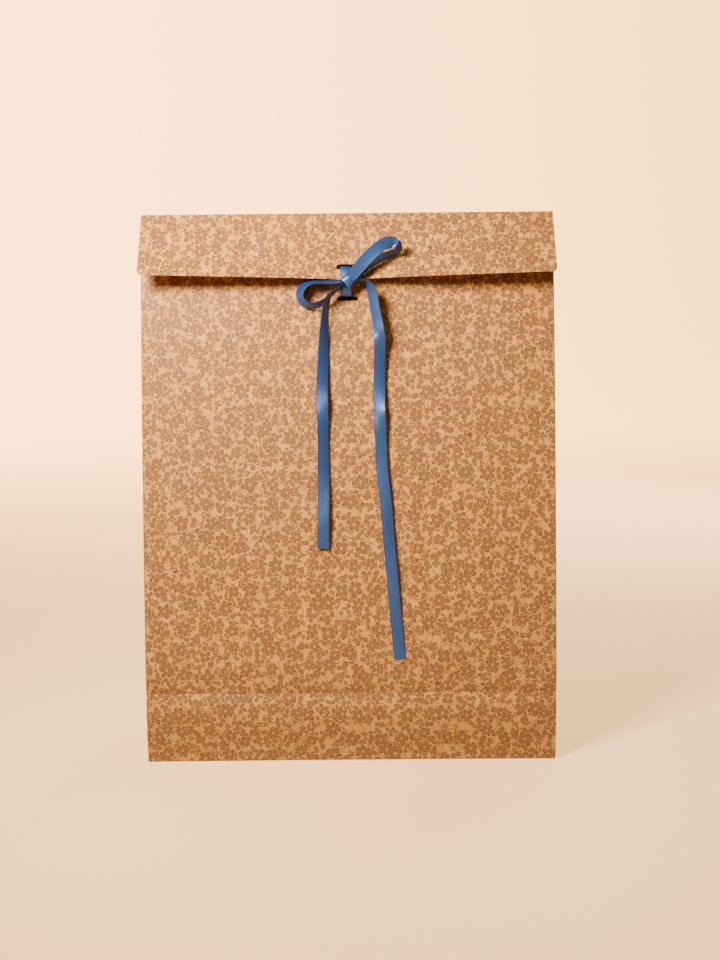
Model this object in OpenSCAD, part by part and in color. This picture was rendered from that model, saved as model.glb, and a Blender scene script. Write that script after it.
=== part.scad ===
// Kraft paper gift bag with a folded block base, a fold-over flap and a threaded ribbon bow.
// Millimetres. +Z up, front towards -Y, origin on the floor under the middle of the base.
// The bag stands as a wedge: the base is fully open and the mouth is closed under the flap.

/* [Bag] */
// Width of the bag across the front
bag_w = 240; // [200:1:280]
// Depth of the base, which is the width of each side gusset
bag_d = 80; // [70:1:90]
// Length of the back panel along the paper, from its bottom edge to the top fold
panel_h = 321; // [300:1:360]
// Height of the crease across the front, where the base folds flat
crease_h = 41; // [36:1:45]
// Thickness of the kraft paper
paper_t = 0.3; // [0.2:0.05:0.4]
// Lean of the strip between the base and the front crease
strip_lean = 2; // [1:0.5:4]
// How far the front panel bows outwards at its middle
front_bow = 4.6; // [3:0.2:6]
// How far the back panel bows outwards at its middle
back_bow = 3; // [2:0.2:4]
// Drop from the top fold to the front panel's top edge, along the paper
mouth_drop = 18; // [15:0.5:20]
// Width of the glued side seam inside the back panel
seam_w = 15; // [10:1:20]

/* [Gussets and base] */
// How far the gusset crease is tucked in at the height of the front crease
tuck_low = 16; // [14:0.5:20]
// How far the gusset crease is tucked in at the mouth
tuck_high = 39.5; // [36:0.5:40]
// Depth of the two base flaps, which overlap under the bag
base_flap_d = 55; // [45:1:60]
// Depth of the two side tucks inside the base
side_tuck_d = 34; // [25:1:38]
// Gap left at a fold, where two panels hinge on the paper
fold_gap = 0.35; // [0.3:0.05:0.5]

/* [Flap] */
// Length of the closing flap from the top fold to its free edge
flap_l = 40.5; // [38:0.5:44]
// Radius of the flap's two free corners
flap_corner_r = 3; // [2:0.5:5]
// Angle of the flap from vertical at its middle, where the bow holds it
flap_angle_mid = 19; // [17:0.5:22]
// Angle of the flap from vertical at its ends, which spring away
flap_angle_end = 31.5; // [28:0.5:34]

/* [Ribbon] */
// Width of the satin ribbon
ribbon_w = 7; // [6:0.5:8]
// Thickness of the satin ribbon
ribbon_t = 0.4; // [0.3:0.05:0.5]
// Length of each ribbon slot
slot_l = 12.5; // [10:0.5:14]
// Height of each ribbon slot
slot_h = 2.3; // [2:0.1:3]
// Distance from the top fold to the slot in the flap, along the flap
flap_slot_drop = 32.4; // [31:0.1:34]
// Distances from the top fold to the two slots in the front panel, along the panel
panel_slot_drops = [31.5, 49.7];

/* [Hidden] */

kraft = [0.84, 0.65, 0.46];
satin_blue = [0.30, 0.48, 0.70];

half_w = bag_w / 2;
half_d = bag_d / 2;
// Straight distance between the ends of a bowed panel, from its length along the paper
function chord_of(length, bow) = length - 8 / 3 * bow * bow / length;
back_chord = chord_of(panel_h, back_bow);
// The top fold, the front crease and the two bottom edges, as [y, z]
top_fold = [0, sqrt(back_chord * back_chord - half_d * half_d)];
rear_edge = [half_d, 0];
front_edge = [-half_d, 0];
front_crease = front_edge + crease_h * [sin(strip_lean), cos(strip_lean)];
front_chord = norm(top_fold - front_crease);
front_lean = atan2(top_fold.x - front_crease.x, top_fold.y - front_crease.y);
back_lean = atan2(half_d, top_fold.y);
// Height of the mouth, and the stretch of front panel below it
panel_l = front_chord - mouth_drop;
mouth_z = front_crease.y + panel_l * cos(front_lean);
// The gusset leaves start above the front crease and keep this far inside the panels
leaf_low_z = front_crease.y + 1;
leaf_gap = 0.8;
leaf_rows = 12;
crease_gap = 0.4;
// Stack of base layers, from the floor up
layer_z = [0, paper_t, 2 * paper_t];

// Middle surface of each bowed panel at height z
function bow_at(bow, u) = 4 * bow * u * (1 - u);
function front_u(z) = (z - front_crease.y) / (top_fold.y - front_crease.y);
function front_y(z) =
  front_crease.x + (top_fold.x - front_crease.x) * front_u(z) - bow_at(front_bow, front_u(z));
function back_y(z) = half_d * (1 - z / top_fold.y) + bow_at(back_bow, z / top_fold.y);
function mid_y(z) = (front_y(z) + back_y(z)) / 2;
// Distance that the gusset crease is tucked in at height z
function tuck_at(z) =
  tuck_low + (tuck_high - tuck_low) * (z - front_crease.y) / (mouth_z - front_crease.y);
apex = [half_w - tuck_low, mid_y(front_crease.y), front_crease.y];

// ---- building blocks ----

// A sheet that bows towards -Y, standing on the origin, with a straight chord along +Z.
// layer moves it inwards by whole thicknesses, low and high trim it along the chord.
module bowed_sheet(width, chord, bow, low, high, layer = 0) {
  radius = (chord * chord / 4 + bow * bow) / (2 * bow);
  mid_radius = radius - layer * paper_t;
  rotate([90, 0, 90])
    linear_extrude(width, center = true)
      intersection() {
        translate([radius - bow, chord / 2]) difference() {
          circle(mid_radius + paper_t / 2, $fn = 720);
          circle(mid_radius - paper_t / 2, $fn = 720);
        }
        translate([-bow - 5, low]) square([bow + 10, high - low]);
      }
}

// A stadium-shaped cutter for a ribbon slot, long in X and cutting along Y
module slot_cutter() {
  straight = slot_l - slot_h;
  rotate([90, 0, 0]) linear_extrude(8, center = true) {
    square([straight, slot_h], center = true);
    for (side = [-1, 1]) translate([side * straight / 2, 0]) circle(d = slot_h, $fn = 32);
  }
}

function unit(v) = v / norm(v);

// Two layers of points, each a list of rows of the same length, closed into one solid
module closed_grid(front_rows, back_rows) {
  rows = len(front_rows);
  cols = len(front_rows[0]);
  points = [
    for (row = front_rows) for (p = row) p,
    for (row = back_rows) for (p = row) p
  ];
  back = rows * cols;
  function at(i, j) = i * cols + j;
  faces = [
    for (i = [0:rows - 2]) for (j = [0:cols - 2])
      each [
        [at(i, j), at(i + 1, j), at(i + 1, j + 1)],
        [at(i, j), at(i + 1, j + 1), at(i, j + 1)],
        [back + at(i, j), back + at(i + 1, j + 1), back + at(i + 1, j)],
        [back + at(i, j), back + at(i, j + 1), back + at(i + 1, j + 1)]
      ],
    for (i = [0:rows - 2])
      each [
        [at(i, 0), back + at(i, 0), back + at(i + 1, 0), at(i + 1, 0)],
        [at(i, cols - 1), at(i + 1, cols - 1), back + at(i + 1, cols - 1), back + at(i, cols - 1)]
      ],
    for (j = [0:cols - 2])
      each [
        [at(0, j), at(0, j + 1), back + at(0, j + 1), back + at(0, j)],
        [at(rows - 1, j), back + at(rows - 1, j), back + at(rows - 1, j + 1), at(rows - 1, j + 1)]
      ]
  ];
  polyhedron(points = points, faces = faces, convexity = 6);
}

// A flat three-cornered plate of paper, drawn in slightly from its corners
module corner_plate(a, b, c) {
  middle = (a + b + c) / 3;
  keep = 0.97;
  ring = [for (p = [a, b, c]) middle + keep * (p - middle)];
  normal = unit(cross(b - a, c - a));
  closed_grid(
    [[ring[0], ring[1]], [ring[2], ring[1] + 0.001 * (ring[2] - ring[1])]],
    [[for (p = [ring[0], ring[1]]) p - paper_t * normal],
     [for (p = [ring[2], ring[1] + 0.001 * (ring[2] - ring[1])]) p - paper_t * normal]]
  );
}

// One leaf of the right-hand gusset, from low_z to the mouth.
// Each entry of edges is [outer point, inner point].
module gusset_leaf(edges, turn) {
  function across(e) = unit([(e[1] - e[0]).y, -(e[1] - e[0]).x, 0]) * paper_t * turn;
  closed_grid(
    [for (e = edges) turn > 0 ? [e[0], e[1]] : [e[1], e[0]]],
    [for (e = edges) turn > 0 ? [e[0] + across(e), e[1] + across(e)] : [e[1] + across(e), e[0] + across(e)]]
  );
}

// ---- paper ----

module back_panel() color(kraft)
  translate([0, rear_edge.x, 0]) rotate([back_lean, 0, 0])
    mirror([0, 1, 0]) bowed_sheet(bag_w, back_chord, back_bow, fold_gap, back_chord - fold_gap);

module side_seam_tab() color(kraft)
  translate([-half_w + seam_w / 2 + 0.5, rear_edge.x, 0]) rotate([back_lean, 0, 0])
    mirror([0, 1, 0]) bowed_sheet(seam_w, back_chord, back_bow, 6, panel_l + crease_h - 4, 1);

module front_panel() color(kraft)
  translate([0, front_crease.x, front_crease.y]) rotate([-front_lean, 0, 0])
    difference() {
      bowed_sheet(bag_w, front_chord, front_bow, fold_gap, panel_l);
      for (drop = panel_slot_drops)
        translate([0, -bow_at(front_bow, drop / front_chord), front_chord - drop]) slot_cutter();
    }

module front_base_strip() color(kraft)
  translate([0, front_edge.x, front_edge.y]) rotate([-strip_lean, 0, 0])
    translate([-half_w, -paper_t / 2, 0]) cube([bag_w, paper_t, crease_h - fold_gap]);

// A base flap: straight along its outer edge, with its two free corners cut at 45 degrees
module base_flap(z) {
  edge = half_d - paper_t / 2 - fold_gap;
  free = base_flap_d - half_d;
  inset = fold_gap;
  translate([0, 0, z]) linear_extrude(paper_t) polygon([
    [-half_w + inset, -edge], [half_w - inset, -edge], [half_w - inset, 0],
    [half_w - inset - free, free], [-half_w + inset + free, free], [-half_w + inset, 0]
  ]);
}

module base_front_flap() color(kraft) base_flap(layer_z[0]);

module base_rear_flap() color(kraft) mirror([0, 1, 0]) base_flap(layer_z[1]);

// A side tuck: the gusset's own end, folded flat inside the base with slanting sides
module side_tuck() {
  edge = half_d - 1;
  reach = half_w - 0.5;
  translate([0, 0, layer_z[2]]) linear_extrude(paper_t) polygon([
    [reach, -edge], [reach, edge],
    [reach - side_tuck_d, edge - side_tuck_d], [reach - side_tuck_d, -edge + side_tuck_d]
  ]);
}

module base_right_tuck() color(kraft) side_tuck();

module base_left_tuck() color(kraft) mirror([1, 0, 0]) side_tuck();

// The gusset's lowest triangle, standing on the base edge with its tip at the gusset crease
module base_triangle() {
  foot = half_w - 0.3;
  low = layer_z[2] + paper_t + 0.1;
  corner_plate([foot, half_d - 1.2, low], [foot, -half_d + 1.2, low], apex);
}

module right_gusset_base_triangle() color(kraft) base_triangle();

module left_gusset_base_triangle() color(kraft) mirror([1, 0, 0]) base_triangle();

// The small triangle between the front strip, the slanting fold and the gusset's tip
module front_corner() {
  corner_plate(
    [half_w - 0.2, front_edge.x + 1.3, 3],
    [half_w - 0.2, front_crease.x + leaf_gap, front_crease.y - 0.4],
    apex + [0, -0.8, -0.4]
  );
}

module right_gusset_front_corner() color(kraft) front_corner();

module left_gusset_front_corner() color(kraft) mirror([1, 0, 0]) front_corner();

module front_leaf() {
  heights = [for (i = [0:leaf_rows]) leaf_low_z + (mouth_z - leaf_low_z) * i / leaf_rows];
  gusset_leaf([
    for (z = heights) [
      [half_w - 0.2, front_y(z) + leaf_gap, z], [half_w - tuck_at(z), mid_y(z) - crease_gap, z]
    ]
  ], 1);
}

module right_gusset_front_leaf() color(kraft) front_leaf();

module left_gusset_front_leaf() color(kraft) mirror([1, 0, 0]) front_leaf();

// Below the front crease the rear leaf ends on the slanting fold that runs to the rear corner
module rear_leaf() {
  low_rows = [for (f = [0.12, 0.4, 0.7]) f * front_crease.y];
  heights = [for (i = [0:leaf_rows]) leaf_low_z + (mouth_z - leaf_low_z) * i / leaf_rows];
  function slant(z) = [half_w - tuck_low * z / apex.z, half_d + (apex.y - half_d) * z / apex.z + 0.9, z];
  gusset_leaf(concat(
    [for (z = low_rows) [[half_w - 0.2, back_y(z) - leaf_gap, z], slant(z)]],
    [for (z = heights) [
      [half_w - 0.2, back_y(z) - leaf_gap, z], [half_w - tuck_at(z), mid_y(z) + crease_gap, z]
    ]]
  ), -1);
}

module right_gusset_rear_leaf() color(kraft) rear_leaf();

module left_gusset_rear_leaf() color(kraft) mirror([1, 0, 0]) rear_leaf();

// The flap springs away from the bag on each side of the tied middle
function spring_at(x) = sqrt(x * x + 100) - 10;
function flap_angle(x) =
  flap_angle_mid + (flap_angle_end - flap_angle_mid) * pow(spring_at(x) / spring_at(half_w), 0.6);
function past_corner(x) = max(0, abs(x) - (half_w - flap_corner_r));
function flap_reach(x) =
  flap_l - flap_corner_r + sqrt(max(0, flap_corner_r * flap_corner_r - pow(past_corner(x), 2)));
function flap_along(x, f) = fold_gap + (flap_reach(x) - fold_gap) * f;
function flap_point(x, r, lift) =
  [x,
   top_fold.x - r * sin(flap_angle(x)) - lift * cos(flap_angle(x)),
   top_fold.y - r * cos(flap_angle(x)) + lift * sin(flap_angle(x))];

module closing_flap() color(kraft) {
  corner_steps = [for (f = [0, 0.5, 0.8, 0.95]) half_w - flap_corner_r * (1 - f)];
  right_columns = concat([for (x = [6:9:half_w - flap_corner_r - 4]) x], corner_steps, [half_w]);
  columns = concat([for (i = [len(right_columns) - 1:-1:0]) -right_columns[i]], [0], right_columns);
  rows = [0, 0.5, 1];
  difference() {
    closed_grid(
      [for (x = columns) [for (f = rows) flap_point(x, flap_along(x, f), paper_t / 2)]],
      [for (x = columns) [for (f = rows) flap_point(x, flap_along(x, f), -paper_t / 2)]]
    );
    translate(flap_point(0, flap_slot_drop, 0)) rotate([-flap_angle_mid, 0, 0]) slot_cutter();
  }
}

// ---- ribbon ----
// Each route is a list of [point, direction across the ribbon].

// The short run behind the front panel, between its two slots
inner_run = [
  [[-0.5, -8.1, 270.6], [1, 0, 0]], [[-0.5, -7.9, 272.4], [1, 0, 0]], [[-0.5, -7.1, 278], [1, 0, 0]],
  [[-1, -5.9, 284], [1, 0, 0]], [[-1, -5, 287], [1, 0, 0]]
];

// Out through the upper slots, over the flap and down into the knot
upper_strand = [
  [[-1, -5, 287.1], [1, 0, 0]], [[-1, -7.5, 287.4], [1, 0, 0]], [[-1, -10.8, 287.7], [1, 0, 0]],
  [[-1, -12.5, 286.8], [1, 0, 0]], [[-0.8, -13.6, 284.9], [1, 0, 0]], [[-0.4, -14.5, 282.9], [1, 0, 0]],
  [[0, -15.5, 280.6], [1, 0, 0]]
];

// From the knot back down into the lower slot
lower_strand = [
  [[0, -15.5, 278.4], [1, 0, 0]], [[0, -14.4, 275.8], [1, 0, 0]], [[-0.4, -12.8, 272.6], [1, 0, 0]],
  [[-0.5, -11, 270.6], [1, 0, 0]], [[-0.5, -8.1, 270.3], [1, 0, 0]]
];

// A small open loop that hangs to the left, under the flap's edge
left_loop = [
  [[0, -16, 279.4], [0, -1, 0]], [[-4, -16.2, 279.2], [0, -1, -0.3]],
  [[-8, -16, 279.2], [0, -1, -0.4]], [[-13, -15.5, 279.3], [0, -1, -0.4]],
  [[-18, -15.2, 279.5], [0.1, -1, -0.4]], [[-22.5, -15, 278.8], [0.4, -0.9, -0.4]],
  [[-26, -15, 276.4], [0.6, -0.8, -0.2]], [[-27.6, -15.2, 273], [0.65, -0.8, 0]],
  [[-27.2, -15.5, 269.5], [0.6, -0.8, 0.3]], [[-25, -15.8, 266.8], [0.4, -0.8, 0.5]],
  [[-21.5, -16, 265.4], [0, -0.8, 0.55]], [[-17.5, -16, 265.6], [-0.2, -0.85, 0.5]],
  [[-13.5, -16, 267.6], [-0.2, -0.9, 0.4]], [[-10, -16, 270.8], [-0.2, -1, 0.3]],
  [[-6.5, -16, 274.2], [-0.2, -1, 0.2]], [[-3, -16, 277.2], [0, -1, 0]], [[0, -16, 279], [0, -1, 0]]
];

// A longer loop that stands up to the right, in front of the flap
right_loop = [
  [[0.5, -17, 279.6], [0.7, 0, -0.7]], [[3, -19.3, 282.4], [0.75, 0, -0.65]],
  [[7, -21.2, 287.2], [0.75, 0, -0.65]], [[11.5, -22, 292.3], [0.75, 0, -0.65]],
  [[16.5, -22, 296.8], [0.68, 0, -0.73]], [[21.5, -21.6, 300.2], [0.55, 0.1, -0.8]],
  [[25.6, -20.8, 301], [0.45, 0.3, -0.85]], [[28.4, -19.4, 299.6], [0.7, 0.6, -0.4]],
  [[29.2, -17.8, 297], [0.6, 0.75, -0.2]], [[27.8, -16.6, 295.6], [0.4, 0.85, -0.35]],
  [[23.9, -16.2, 294.1], [0.35, 0.8, -0.5]], [[18.8, -16.6, 292], [0.4, 0.72, -0.57]],
  [[13.4, -17, 289], [0.4, 0.72, -0.57]], [[8.6, -17.5, 285.4], [0.4, 0.72, -0.57]],
  [[5, -17.6, 281.8], [0.45, 0.6, -0.6]], [[1.5, -16.6, 279.8], [0.5, 0.4, -0.7]]
];

// The shorter free end, hanging straight down on the left
left_tail = [
  [[0, -16, 278.2], [0.4, 0.8, 0.4]], [[-4, -16.8, 276.2], [0.4, 0.9, 0.3]],
  [[-8, -17, 273.4], [0.45, 0.9, 0.2]], [[-11, -16.8, 269.4], [0.5, 0.85, 0]],
  [[-12.4, -16.8, 263], [0.55, 0.8, 0]], [[-13, -17, 256], [0.66, 0.74, 0]],
  [[-13.5, -17.3, 249], [0.78, 0.62, 0]], [[-14, -17.9, 240], [0.86, 0.5, 0]],
  [[-14.2, -19.2, 231.5], [0.92, 0.38, 0]], [[-14.8, -21.2, 221.5], [0.97, 0.2, 0]],
  [[-15, -23.6, 211], [1, -0.12, 0]], [[-14.8, -24.8, 203], [0.98, 0.12, 0]],
  [[-14.6, -25.2, 195], [0.92, 0.35, 0]], [[-14.5, -26, 184], [0.94, 0.3, 0]],
  [[-14.6, -27.4, 171.5], [0.97, 0.2, 0]], [[-14.8, -29.8, 156], [1, -0.1, 0]],
  [[-15, -31.9, 144], [1, -0.2, 0]], [[-15.1, -32.6, 136], [1, -0.05, 0]],
  [[-15.2, -32.9, 126], [1, 0, 0]]
];

// The longer free end: out of the knot to the right, over a shoulder and down
right_tail = [
  [[1, -16, 279.2], [0, -1, 0]], [[4, -16.4, 279.6], [0, -1, 0]], [[8, -17, 279.6], [0.1, -1, 0.1]],
  [[11.2, -17.6, 278.6], [0.4, -0.9, 0.2]], [[13.4, -18, 275.6], [0.7, -0.7, 0.2]],
  [[14.6, -18.3, 271.5], [0.8, -0.6, 0]], [[15.4, -18.8, 265], [0.82, -0.58, 0]],
  [[17, -19.8, 257], [0.84, -0.54, 0]], [[18.1, -20.9, 251], [0.88, -0.47, 0]],
  [[18.6, -20.9, 246.5], [0.99, -0.05, 0]], [[18.7, -20.4, 240], [1, 0.2, 0]],
  [[18.5, -20, 231.5], [1, 0.2, 0]], [[18.2, -20.8, 221.5], [1, 0.1, 0]],
  [[18, -22.8, 211], [0.98, -0.15, 0]], [[18.2, -24.4, 204], [0.94, -0.34, 0]],
  [[18.5, -25, 197], [1, -0.1, 0]], [[18.8, -25.6, 188], [1, 0.05, 0]],
  [[19.3, -27.3, 171], [0.99, -0.15, 0]], [[21.3, -29.4, 153.5], [1, -0.05, 0]],
  [[22.7, -31.4, 136], [1, 0.1, 0]], [[24, -33.5, 118], [0.99, -0.1, 0]],
  [[25.5, -35.2, 100], [1, -0.15, 0]], [[27, -36.9, 82], [1, 0, 0]], [[29, -38.9, 61], [1, 0, 0]]
];

// A flat tape of the ribbon's width, swept along a route
module tape(route) {
  last = len(route) - 1;
  function run_at(i) = unit(route[min(i + 1, last)][0] - route[max(i - 1, 0)][0]);
  function across_at(i) = unit(route[i][1] - (route[i][1] * run_at(i)) * run_at(i));
  function face_at(i) = cross(run_at(i), across_at(i));
  function side(i, lift) = [
    for (s = [-1, 1]) route[i][0] + s * across_at(i) * ribbon_w / 2 + lift * face_at(i) * ribbon_t / 2
  ];
  closed_grid([for (i = [0:last]) side(i, 1)], [for (i = [0:last]) side(i, -1)]);
}

module ribbon_inner_run() color(satin_blue) tape(inner_run);

module ribbon_upper_strand() color(satin_blue) tape(upper_strand);

module ribbon_lower_strand() color(satin_blue) tape(lower_strand);

module ribbon_left_loop() color(satin_blue) tape(left_loop);

module ribbon_right_loop() color(satin_blue) tape(right_loop);

module ribbon_left_tail() color(satin_blue) tape(left_tail);

module ribbon_right_tail() color(satin_blue) tape(right_tail);

// The pulled-tight crossing of the bow, a soft lump on the flap's edge
module ribbon_knot() color(satin_blue) hull() {
  translate([-2, -17, 278.6]) sphere(r = 2.4, $fn = 24);
  translate([2.2, -17, 279.8]) sphere(r = 2.6, $fn = 24);
}

back_panel();
side_seam_tab();
left_gusset_rear_leaf();
right_gusset_rear_leaf();
front_panel();
left_gusset_front_leaf();
right_gusset_front_leaf();
front_base_strip();
base_front_flap();
base_rear_flap();
base_left_tuck();
base_right_tuck();
left_gusset_base_triangle();
right_gusset_base_triangle();
left_gusset_front_corner();
right_gusset_front_corner();
closing_flap();
ribbon_inner_run();
ribbon_upper_strand();
ribbon_lower_strand();
ribbon_knot();
ribbon_left_loop();
ribbon_right_loop();
ribbon_left_tail();
ribbon_right_tail();
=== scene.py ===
import math

import bpy
import numpy as np
from mathutils import Matrix, Vector


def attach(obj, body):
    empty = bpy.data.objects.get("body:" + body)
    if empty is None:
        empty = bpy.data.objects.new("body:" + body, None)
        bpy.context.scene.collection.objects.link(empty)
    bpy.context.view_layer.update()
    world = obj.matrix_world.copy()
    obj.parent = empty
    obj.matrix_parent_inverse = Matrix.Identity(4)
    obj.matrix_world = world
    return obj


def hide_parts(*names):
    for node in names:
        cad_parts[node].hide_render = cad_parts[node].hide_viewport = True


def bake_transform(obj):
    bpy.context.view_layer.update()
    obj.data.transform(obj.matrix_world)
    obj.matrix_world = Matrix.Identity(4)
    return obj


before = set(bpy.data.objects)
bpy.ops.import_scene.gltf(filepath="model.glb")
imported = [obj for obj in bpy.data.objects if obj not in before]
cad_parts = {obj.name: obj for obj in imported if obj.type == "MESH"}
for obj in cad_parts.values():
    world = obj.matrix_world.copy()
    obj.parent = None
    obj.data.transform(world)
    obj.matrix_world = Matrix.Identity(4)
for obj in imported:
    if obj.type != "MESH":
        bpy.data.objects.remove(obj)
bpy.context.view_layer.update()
mm = 0.001
scene = bpy.context.scene


def toLinear(hexColour, alpha=1.0):
    # sRGB hex to the linear values that the shaders take
    values = [int(hexColour[i:i + 2], 16) / 255 for i in (1, 3, 5)]
    return tuple(v / 12.92 if v <= 0.04045 else ((v + 0.055) / 1.055) ** 2.4 for v in values) + (alpha,)


def addNode(tree, kind, settings=None, out=None, **links):
    # Settings are node properties; links go to inputs by name, or by number as i0, i1
    node = tree.nodes.new(kind)
    for key, value in (settings or {}).items():
        setattr(node, key, value)
    for key, value in links.items():
        index = int(key[1:]) if key[0] == "i" and key[1:].isdigit() else key.replace("_", " ")
        if isinstance(value, bpy.types.NodeSocket):
            tree.links.new(value, node.inputs[index])
        else:
            node.inputs[index].default_value = value
    return node if out is None else node.outputs[out]


def mathNode(tree, operation, *values):
    return addNode(tree, "ShaderNodeMath", {"operation": operation}, out=0,
                   **{f"i{i}": value for i, value in enumerate(values)})


def smoothStep(tree, value, low, high, top=1.0):
    # Rises smoothly from 0 where the value is low to top where it is high; low may be the larger
    return addNode(tree, "ShaderNodeMapRange", {"interpolation_type": "SMOOTHSTEP"}, out=0, Value=value,
                   i1=low, i2=high, i3=0.0, i4=top)


def noiseNode(tree, space, scale, detail, out=0, roughness=0.5):
    return addNode(tree, "ShaderNodeTexNoise", {"noise_dimensions": "2D"}, out=out, Vector=space,
                   Scale=scale, Detail=detail, Roughness=roughness)


def mixColour(tree, factor, first, second):
    return addNode(tree, "ShaderNodeMix", {"data_type": "RGBA"}, out=2, Factor=factor, i6=first, i7=second)


cameraSet = {"place": (0.0086, -0.7912, 0.2845), "pitch": 8.87, "yaw": -0.17, "roll": -0.55, "lens": 50}


def makeCamera():
    yaw, pitch, roll = (math.radians(cameraSet[k]) for k in ("yaw", "pitch", "roll"))
    upward = Vector((0, 0, 1))
    level = Vector((math.sin(yaw), math.cos(yaw), 0))
    right0 = Vector((math.cos(yaw), -math.sin(yaw), 0))
    forward = level * math.cos(pitch) - upward * math.sin(pitch)
    up0 = level * math.sin(pitch) + upward * math.cos(pitch)
    right = right0 * math.cos(roll) + up0 * math.sin(roll)
    up = up0 * math.cos(roll) - right0 * math.sin(roll)
    camera = bpy.data.objects.new("camera", bpy.data.cameras.new("camera"))
    camera.data.lens, camera.data.sensor_width = cameraSet["lens"], 36
    turn = Matrix((right, up, -forward)).transposed().to_4x4()
    camera.matrix_world = Matrix.Translation(cameraSet["place"]) @ turn
    scene.collection.objects.link(camera)
    scene.camera = camera


makeCamera()


def addObject(name, mesh, materials=()):
    piece = bpy.data.objects.new(name, mesh)
    scene.collection.objects.link(piece)
    for material in materials:
        mesh.materials.append(material)
    return piece


def applied(piece):
    # The evaluated mesh as a plain one, with the modifiers gone
    bpy.context.view_layer.update()
    depsgraph = bpy.context.evaluated_depsgraph_get()
    mesh = bpy.data.meshes.new_from_object(piece.evaluated_get(depsgraph))
    piece.modifiers.clear()
    piece.data = mesh
    return piece


def smoothFaces(piece, degrees):
    # Smooth shading, with edges sharper than this kept crisp
    piece.data.polygons.foreach_set("use_smooth", np.ones(len(piece.data.polygons), bool))
    piece.data.set_sharp_from_angle(angle=math.radians(degrees))


def unit(v):
    v = np.asarray(v, float)
    return v / np.maximum(np.linalg.norm(v, axis=-1, keepdims=True), 1e-12)


# Woven polyester satin ribbon, 7 mm: long floats give a silky lengthwise sheen, the selvedge is a tight cord
satinSet = {"face": "#355fb0", "shade": "#223c74", "selvedge": "#1a2f5e", "roughness": 0.36,
            "threadMm": 0.22, "pickMm": 0.5, "selvedgeMm": 0.45, "widthMm": 7.0}


def makeSatin():
    material = bpy.data.materials.new("wovenSatinRibbon")
    material.use_nodes = True
    tree = material.node_tree
    tree.nodes.clear()
    s = satinSet
    uv = addNode(tree, "ShaderNodeUVMap", {"uv_map": "UVMap"}, out=0)
    millimetres = addNode(tree, "ShaderNodeVectorMath", {"operation": "SCALE"}, out=0, i0=uv, Scale=1000.0)
    split = addNode(tree, "ShaderNodeSeparateXYZ", i0=millimetres)
    across, along = split.outputs[0], split.outputs[1]
    # Warp threads run the length of the ribbon
    threadSpace = addNode(tree, "ShaderNodeMapping", out=0, Vector=millimetres,
                          Scale=(1 / s["threadMm"], 0.16, 1))
    threads = noiseNode(tree, threadSpace, 1.0, 2.0)
    pickSpace = addNode(tree, "ShaderNodeMapping", out=0, Vector=millimetres, Scale=(0.4, 1 / s["pickMm"], 1))
    picks = noiseNode(tree, pickSpace, 1.0, 1.0)
    cloudy = noiseNode(tree, millimetres, 0.12, 2.0)
    edge = mathNode(tree, "ABSOLUTE", across)
    half = s["widthMm"] / 2
    selvedge = smoothStep(tree, edge, half - s["selvedgeMm"] - 0.15, half - s["selvedgeMm"] + 0.1)
    blend = mathNode(tree, "MULTIPLY_ADD", threads, 0.75, 0.1)
    blend = mathNode(tree, "MULTIPLY_ADD", cloudy, 0.3, blend)
    colour = mixColour(tree, blend, toLinear(s["shade"]), toLinear(s["face"]))
    cordTurns = addNode(tree, "ShaderNodeTexWave", {"bands_direction": "Y"}, out=0, Vector=millimetres,
                        Scale=0.5, Distortion=1.2, Detail=1.0)
    edgeTone = mathNode(tree, "MULTIPLY_ADD", cordTurns, -0.25, 0.85)
    edgeMask = mathNode(tree, "MULTIPLY", selvedge, edgeTone)
    colour = mixColour(tree, edgeMask, colour, toLinear(s["selvedge"]))
    height = mathNode(tree, "MULTIPLY_ADD", picks, 0.35, threads)
    height = mathNode(tree, "MULTIPLY_ADD", selvedge, 0.6, height)
    bump = addNode(tree, "ShaderNodeBump", out=0, Height=height, Strength=0.35, Distance=0.12 * mm)
    gloss = mathNode(tree, "MULTIPLY_ADD", selvedge, 0.18, s["roughness"])
    shader = addNode(tree, "ShaderNodeBsdfPrincipled", out=0, Base_Color=colour, Roughness=gloss, Normal=bump,
                     IOR=1.5, Metallic=0.55, Specular_IOR_Level=0.3, Sheen_Weight=0.03, Sheen_Roughness=0.35)
    addNode(tree, "ShaderNodeOutputMaterial", i0=shader)
    return material


satin = makeSatin()

# Each route lists the middle of the ribbon in mm and the direction across it; pinch narrows the
# ribbon where the knot gathers it. The lengths of the free ends and the loops are printed.
ribbonSet = {"width": 7.0, "thickness": 0.38, "crown": 0.22, "steps": 7, "profilePoints": 44}
innerRun = [
    [[-0.5, -8.1, 270.6], [1, 0, 0]], [[-0.5, -7.9, 272.4], [1, 0, 0]], [[-0.5, -7.1, 278], [1, 0, 0]],
    [[-1, -5.9, 284], [1, 0, 0]], [[-1, -5, 287], [1, 0, 0]]]
upperStrand = [
    [[-1, -5, 287.1], [1, 0, 0]], [[-1, -7.5, 287.4], [1, 0, 0]], [[-1, -10.8, 287.7], [1, 0, 0]],
    [[-1, -12.5, 286.8], [1, 0, 0]], [[-0.8, -13.6, 284.9], [1, 0, 0]],
    [[-0.4, -14.5, 282.9], [1, 0, 0]], [[0, -15.5, 280.6], [1, 0, 0]]]
lowerStrand = [
    [[0, -15.5, 278.4], [1, 0, 0]], [[0, -14.4, 275.8], [1, 0, 0]], [[-0.4, -12.8, 272.6], [1, 0, 0]],
    [[-0.5, -11, 270.6], [1, 0, 0]], [[-0.5, -8.1, 270.3], [1, 0, 0]]]
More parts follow.
